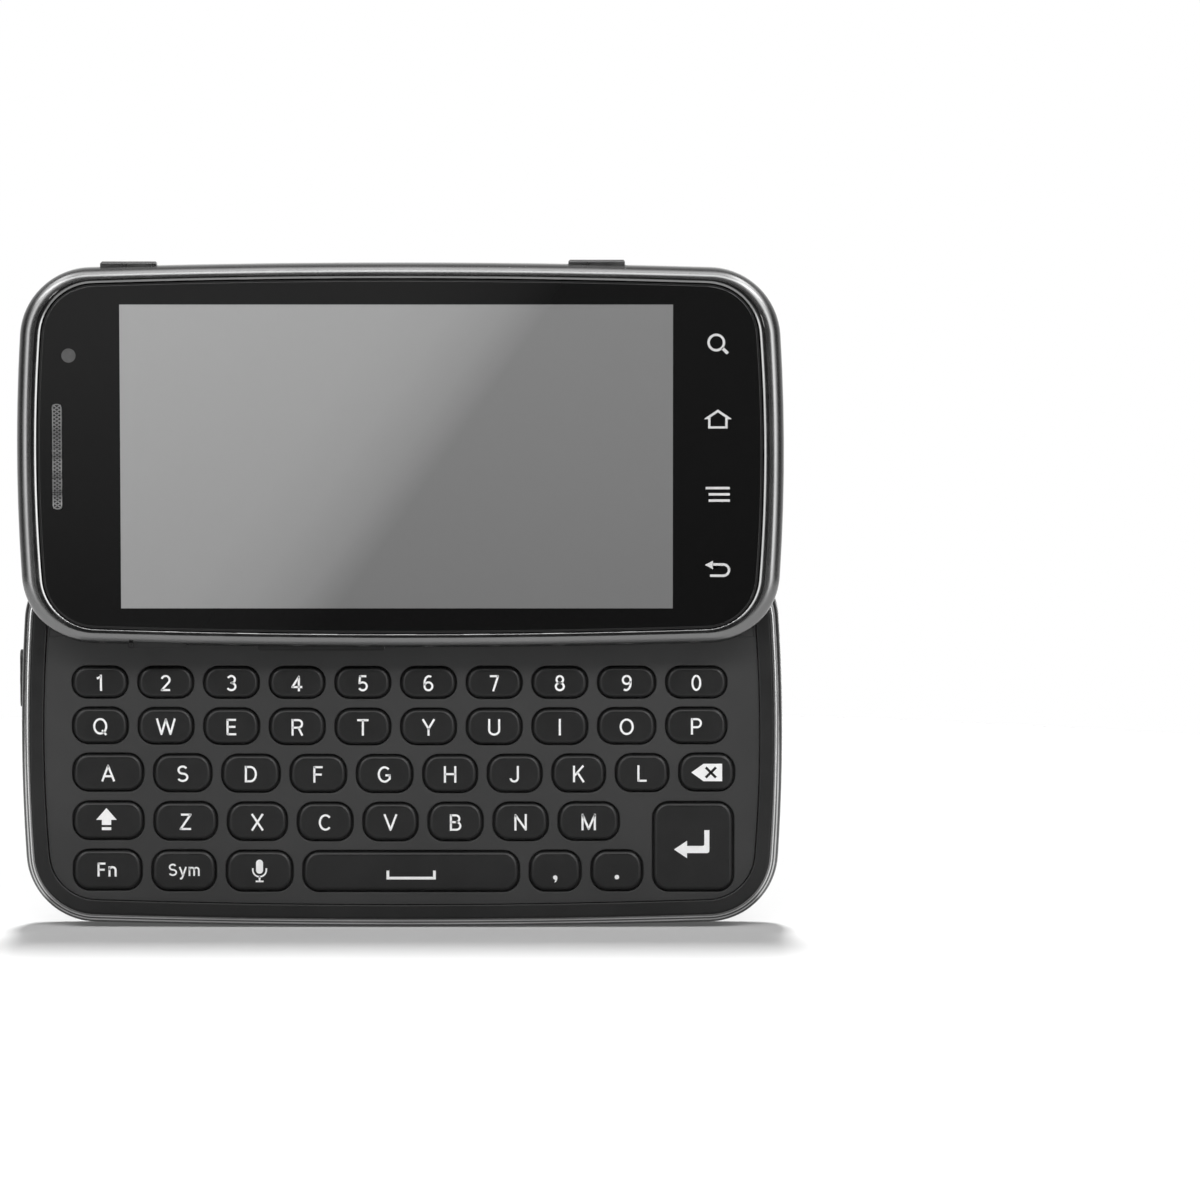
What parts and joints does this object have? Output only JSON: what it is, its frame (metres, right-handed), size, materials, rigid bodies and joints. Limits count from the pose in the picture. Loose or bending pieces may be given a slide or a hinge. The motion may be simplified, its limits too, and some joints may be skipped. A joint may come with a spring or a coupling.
{
  "type": "slider phone",
  "caption": "Landscape slider phone, shown slid open: a touch-screen half that runs on rails over a keyboard half with a lift-off back cover.",
  "frame": {"origin": "the middle of the keyboard half, where two hands hold it: centred along and across that half and in its thickness", "axes": "+X along the phone, away from the earpiece end; -Y the way the screen and the keys face; +Z across the phone, the way the screen half slides to open"},
  "size_m": [0.1267, 0.0135, 0.1114],
  "materials": {
    "cover_soft_plastic": "matte",
    "frame_grey": "satin",
    "trim_chrome": "polished",
    "rim_black": "satin",
    "deck_grey": "matte",
    "key_black": "satin",
    "front_glass": "gloss",
    "lens_glass": "gloss",
    "mesh_steel": "satin",
    "plate_steel": "satin",
    "chassis_alloy": "matte",
    "board_green": "satin",
    "battery_black": "satin",
    "contact_gold": "polished",
    "inner_black": "matte",
    "dome_film": "satin",
    "display_grey": "gloss",
    "side_key_metal": "satin",
    "spring_steel": "polished"
  },
  "bodies": {
    "keyboard_half": {"base_trim_ring": "trim_chrome", "base_frame": "frame_grey", "keyboard_rim": "rim_black", "keyboard_deck": "deck_grey", "dome_sheet": "dome_film", "keypad_board": "board_green", "mid_plate": "chassis_alloy", "case_screws": "plate_steel", "main_board": "board_green", "sim_socket": "mesh_steel", "memory_card_socket": "mesh_steel", "shield_cans": "mesh_steel", "rear_chassis": "inner_black", "battery": "battery_black", "battery_contacts": "contact_gold", "sub_board": "board_green", "loudspeaker": "inner_black", "loudspeaker_mesh": "mesh_steel", "vibration_motor": "mesh_steel", "microphone": "mesh_steel", "headset_jack": "inner_black", "camera_island": "rim_black", "camera_trim_ring": "trim_chrome", "camera_window": "lens_glass", "camera_module": "inner_black", "flash_window": "lens_glass", "flash_led": "contact_gold", "slide_base_plate": "plate_steel"},
    "screen_half": {"slider_frame": "frame_grey", "slider_back_plate": "inner_black", "slider_chassis": "chassis_alloy", "bezel_ring": "trim_chrome", "front_glass": "front_glass", "display_panel": "display_grey", "earpiece_mesh": "mesh_steel", "earpiece_speaker": "inner_black", "front_camera": "inner_black", "touch_key_board": "board_green", "side_switches": "inner_black", "usb_socket": "mesh_steel"},
    "battery_cover": {"battery_cover": "cover_soft_plastic"},
    "power_button": {"power_button": "side_key_metal"},
    "camera_button": {"camera_button": "side_key_metal"},
    "volume_rocker": {"volume_rocker": "side_key_metal"},
    "usb_door": {"usb_door": "side_key_metal"},
    "slide_spring_left": {"slide_spring_left": "spring_steel"},
    "slide_spring_right": {"slide_spring_right": "spring_steel"},
    "digit_keys": {"digit_keys": "key_black"},
    "top_letter_keys": {"top_letter_keys": "key_black"},
    "middle_letter_keys": {"middle_letter_keys": "key_black"},
    "backspace_key": {"backspace_key": "key_black"},
    "shift_key": {"shift_key": "key_black"},
    "lower_letter_keys": {"lower_letter_keys": "key_black"},
    "function_key": {"function_key": "key_black"},
    "symbol_key": {"symbol_key": "key_black"},
    "voice_key": {"voice_key": "key_black"},
    "space_key": {"space_key": "key_black"},
    "comma_key": {"comma_key": "key_black"},
    "period_key": {"period_key": "key_black"},
    "enter_key": {"enter_key": "key_black"}
  },
  "joints": [
    {"name": "display_slide", "type": "slide", "parent": "keyboard_half", "child": "screen_half", "axis": [0, 0, 1], "range_m": [-0.0473, 0]},
    {"name": "battery_cover_lift", "type": "slide", "parent": "keyboard_half", "child": "battery_cover", "axis": [0, 1, 0], "range_m": [0, 0.008]},
    {"name": "power_button_press", "type": "slide", "parent": "screen_half", "child": "power_button", "axis": [0, 0, -1], "range_m": [0, 0.0003], "stiffness_N_per_m": 4000, "springref_m": -0.0003},
    {"name": "camera_button_press", "type": "slide", "parent": "screen_half", "child": "camera_button", "axis": [0, 0, -1], "range_m": [0, 0.0003], "stiffness_N_per_m": 4000, "springref_m": -0.0003},
    {"name": "volume_rocker_tilt", "type": "hinge", "parent": "screen_half", "child": "volume_rocker", "pos_m": [-0.0132, -0.0068, 0.0173], "axis": [0, -1, 0], "range_deg": [-1.3, 1.3], "stiffness_Nm_per_rad": 0.05},
    {"name": "usb_door_swing", "type": "hinge", "parent": "screen_half", "child": "usb_door", "pos_m": [-0.0446, -0.0068, 0.01602], "axis": [0, 1, 0], "range_deg": [0, 90]},
    {"name": "spring_swing_left", "type": "hinge", "parent": "screen_half", "child": "slide_spring_left", "pos_m": [-0.023, -0.0055, 0.0463], "axis": [0, -1, 0], "range_deg": [-92.1, 0.5]},
    {"name": "spring_swing_right", "type": "hinge", "parent": "screen_half", "child": "slide_spring_right", "pos_m": [0.023, -0.0055, 0.0463], "axis": [0, -1, 0], "range_deg": [-0.5, 92.1]},
    {"name": "digit_keys_press", "type": "slide", "parent": "keyboard_half", "child": "digit_keys", "axis": [0, 1, 0], "range_m": [0, 0.0002], "stiffness_N_per_m": 3000, "springref_m": -0.0002},
    {"name": "top_letter_keys_press", "type": "slide", "parent": "keyboard_half", "child": "top_letter_keys", "axis": [0, 1, 0], "range_m": [0, 0.0002], "stiffness_N_per_m": 3000, "springref_m": -0.0002},
    {"name": "middle_letter_keys_press", "type": "slide", "parent": "keyboard_half", "child": "middle_letter_keys", "axis": [0, 1, 0], "range_m": [0, 0.0002], "stiffness_N_per_m": 3000, "springref_m": -0.0002},
    {"name": "backspace_key_press", "type": "slide", "parent": "keyboard_half", "child": "backspace_key", "axis": [0, 1, 0], "range_m": [0, 0.0002], "stiffness_N_per_m": 3000, "springref_m": -0.0002},
    {"name": "shift_key_press", "type": "slide", "parent": "keyboard_half", "child": "shift_key", "axis": [0, 1, 0], "range_m": [0, 0.0002], "stiffness_N_per_m": 3000, "springref_m": -0.0002},
    {"name": "lower_letter_keys_press", "type": "slide", "parent": "keyboard_half", "child": "lower_letter_keys", "axis": [0, 1, 0], "range_m": [0, 0.0002], "stiffness_N_per_m": 3000, "springref_m": -0.0002},
    {"name": "function_key_press", "type": "slide", "parent": "keyboard_half", "child": "function_key", "axis": [0, 1, 0], "range_m": [0, 0.0002], "stiffness_N_per_m": 3000, "springref_m": -0.0002},
    {"name": "symbol_key_press", "type": "slide", "parent": "keyboard_half", "child": "symbol_key", "axis": [0, 1, 0], "range_m": [0, 0.0002], "stiffness_N_per_m": 3000, "springref_m": -0.0002},
    {"name": "voice_key_press", "type": "slide", "parent": "keyboard_half", "child": "voice_key", "axis": [0, 1, 0], "range_m": [0, 0.0002], "stiffness_N_per_m": 3000, "springref_m": -0.0002},
    {"name": "space_key_press", "type": "slide", "parent": "keyboard_half", "child": "space_key", "axis": [0, 1, 0], "range_m": [0, 0.0002], "stiffness_N_per_m": 3000, "springref_m": -0.0002},
    {"name": "comma_key_press", "type": "slide", "parent": "keyboard_half", "child": "comma_key", "axis": [0, 1, 0], "range_m": [0, 0.0002], "stiffness_N_per_m": 3000, "springref_m": -0.0002},
    {"name": "period_key_press", "type": "slide", "parent": "keyboard_half", "child": "period_key", "axis": [0, 1, 0], "range_m": [0, 0.0002], "stiffness_N_per_m": 3000, "springref_m": -0.0002},
    {"name": "enter_key_press", "type": "slide", "parent": "keyboard_half", "child": "enter_key", "axis": [0, 1, 0], "range_m": [0, 0.0002], "stiffness_N_per_m": 3000, "springref_m": -0.0002}
  ],
  "couplings": [
    {"joint": "spring_swing_right", "follows": "display_slide", "rad_per_m": -33.798},
    {"joint": "spring_swing_left", "follows": "display_slide", "rad_per_m": 33.798}
  ]
}
